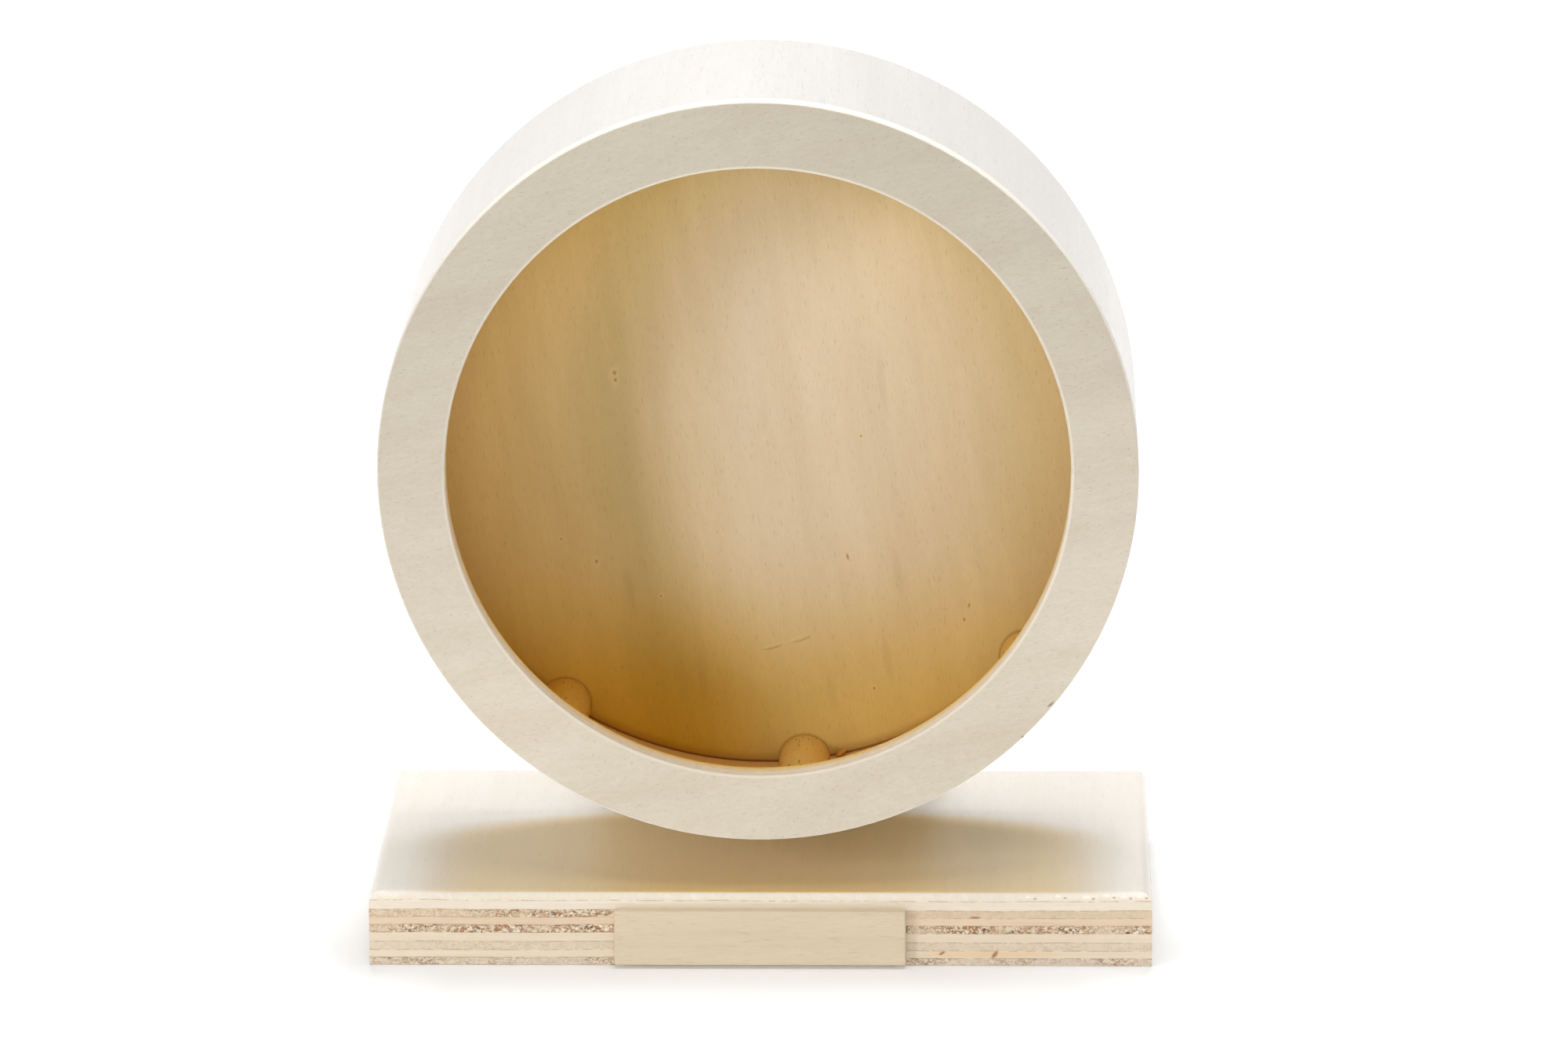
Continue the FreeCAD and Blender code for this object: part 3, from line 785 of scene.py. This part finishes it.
def stage_floor():
    mesh = bpy.data.meshes.new("floor")
    half = FLOOR_SIZE / 2
    corners = [(-half, -half, 0), (half, -half, 0), (half, half, 0), (-half, half, 0)]
    mesh.from_pydata(corners, [], [(0, 1, 2, 3)])
    floor = bpy.data.objects.new("floor", mesh)
    bpy.context.scene.collection.objects.link(floor)
    material = bpy.data.materials.new("floor")
    material.use_nodes = True
    tree = material.node_tree
    tree.nodes.clear()
    output = tree.nodes.new("ShaderNodeOutputMaterial")
    diffuse = tree.nodes.new("ShaderNodeBsdfDiffuse")
    diffuse.inputs["Color"].default_value = FLOOR_DIFFUSE
    glow = tree.nodes.new("ShaderNodeEmission")
    total = tree.nodes.new("ShaderNodeAddShader")
    place = tree.nodes.new("ShaderNodeTexCoord")
    away = place.outputs["Object"]
    for operation, other in (
        ("ABSOLUTE", None),
        ("SUBTRACT", BASE_HIGH / MM),
        ("MAXIMUM", (0, 0, 0)),
        ("LENGTH", None),
    ):
        step = tree.nodes.new("ShaderNodeVectorMath")
        step.operation = operation
        tree.links.new(away, step.inputs[0])
        if other is not None:
            step.inputs[1].default_value = other
        away = step.outputs["Value" if operation == "LENGTH" else "Vector"]
    rises = []
    for settings in (
        (GLOW_NEAR, GLOW_FAR, FLOOR_GLOW, FLOOR_GLOW_FAR),
        (GLOW_FAR, GLOW_END, 0.0, FLOOR_GLOW_END - FLOOR_GLOW_FAR),
    ):
        rise = tree.nodes.new("ShaderNodeMapRange")
        rise.interpolation_type = "SMOOTHSTEP"
        tree.links.new(away, rise.inputs["Value"])
        for socket, value in zip(rise.inputs[1:5], settings):
            socket.default_value = value
        rises.append(rise.outputs[0])
    both = tree.nodes.new("ShaderNodeMath")
    both.operation = "ADD"
    for socket, output_of_rise in zip(both.inputs, rises):
        tree.links.new(output_of_rise, socket)
    radiance = seen_or_lighting(tree, both.outputs[0], FLOOR_FILL, FLOOR_TINT)
    tree.links.new(radiance, glow.inputs["Color"])
    tree.links.new(diffuse.outputs[0], total.inputs[0])
    tree.links.new(glow.outputs[0], total.inputs[1])
    tree.links.new(total.outputs[0], output.inputs["Surface"])
    mesh.materials.append(material)


def seen_or_lighting(tree, seen, lighting, colour):
    """One radiance for camera, glossy and transmission rays, and another for rays that light."""
    path = tree.nodes.new("ShaderNodeLightPath")
    direct = path.outputs["Is Camera Ray"]
    for kind in ("Is Glossy Ray", "Is Transmission Ray"):
        either = tree.nodes.new("ShaderNodeMath")
        either.operation = "MAXIMUM"
        tree.links.new(direct, either.inputs[0])
        tree.links.new(path.outputs[kind], either.inputs[1])
        direct = either.outputs[0]
    choice = tree.nodes.new("ShaderNodeMix")
    choice.data_type = "RGBA"
    tree.links.new(direct, choice.inputs[0])
    choice.inputs[6].default_value = [channel * lighting for channel in colour] + [1.0]
    if isinstance(seen, bpy.types.NodeSocket):
        tree.links.new(seen, choice.inputs[7])
    else:
        choice.inputs[7].default_value = (seen, seen, seen, 1.0)
    return choice.outputs[2]


# Strength of the room's soft light.
AMBIENT = 0.19


def sky():
    world = bpy.data.worlds.new("studio")
    bpy.context.scene.world = world
    world.use_nodes = True
    tree = world.node_tree
    tree.nodes.clear()
    background = tree.nodes.new("ShaderNodeBackground")
    tree.links.new(seen_or_lighting(tree, 1.0, AMBIENT, ROOM_TINT), background.inputs["Color"])
    output = tree.nodes.new("ShaderNodeOutputWorld")
    tree.links.new(background.outputs[0], output.inputs["Surface"])


# Soft boxes: name, azimuth from the front towards +X, elevation, distance, width, height, watts
# and colour.
LIGHT_AIM = Vector((0, 0, 0.12))
WARM_WHITE = (1.0, 0.975, 0.93)
COOL_WHITE = (0.985, 0.992, 1.0)
SOFTBOXES = [
    ("left_softbox", -44, 13, 1.4, 0.32, 0.32, 5.3, WARM_WHITE),
    ("front_softbox", 2, 12, 1.4, 0.50, 0.34, 2.65, WARM_WHITE),
    ("top_softbox", 90, 83, 1.5, 0.50, 1.00, 11.7, COOL_WHITE),
    ("rear_softbox", 180, 67, 1.5, 0.60, 0.50, 11.6, COOL_WHITE),
    ("fore_softbox", 0, 64, 1.5, 0.60, 0.50, 4.3, WARM_WHITE),
]


def softbox(name, azimuth, elevation, distance, width, height, watts, colour):
    light = bpy.data.lights.new(name, "AREA")
    light.shape = "RECTANGLE"
    light.size = width
    light.size_y = height
    light.energy = watts
    light.color = colour
    lamp = bpy.data.objects.new(name, light)
    bpy.context.scene.collection.objects.link(lamp)
    aside = Matrix.Rotation(math.radians(azimuth), 3, "Z")
    turn = aside @ Matrix.Rotation(math.radians(90 - elevation), 3, "X")
    place = Matrix.Translation(LIGHT_AIM + turn @ Vector((0, 0, distance)))
    lamp.matrix_world = place @ turn.to_4x4()


# Camera fitted to the photograph: it looks at the focus point, nearly square on and from above.
# Angles are in radians, and lens and sensor in millimetres.
CAMERA_FOCUS = Vector((0.005478, 0.0, 0.10631))
CAMERA_DISTANCE = 2.45371
CAMERA_AZIMUTH = 0.0245
CAMERA_ELEVATION = 0.2622
CAMERA_ROLL = 0.0055
CAMERA_LENS = 209.43
CAMERA_SENSOR = 36.0
CAMERA_CLIP_END = 50.0


def camera():
    data = bpy.data.cameras.new("camera")
    data.sensor_fit = "HORIZONTAL"
    data.sensor_width = CAMERA_SENSOR
    data.lens = CAMERA_LENS
    data.clip_end = CAMERA_CLIP_END
    eye = bpy.data.objects.new("camera", data)
    bpy.context.scene.collection.objects.link(eye)
    turn = (
        Matrix.Rotation(CAMERA_AZIMUTH, 3, "Z")
        @ Matrix.Rotation(-CAMERA_ELEVATION, 3, "X")
        @ Matrix.Rotation(CAMERA_ROLL, 3, "Y")
    )
    forward = turn @ Vector((0, 1, 0))
    looking = turn @ Matrix.Rotation(math.radians(90), 3, "X")
    place = Matrix.Translation(CAMERA_FOCUS - forward * CAMERA_DISTANCE)
    eye.matrix_world = place @ looking.to_4x4()
    bpy.context.scene.camera = eye


stage_floor()
sky()
for settings in SOFTBOXES:
    softbox(*settings)
camera()
bpy.context.scene.view_settings.view_transform = "Standard"
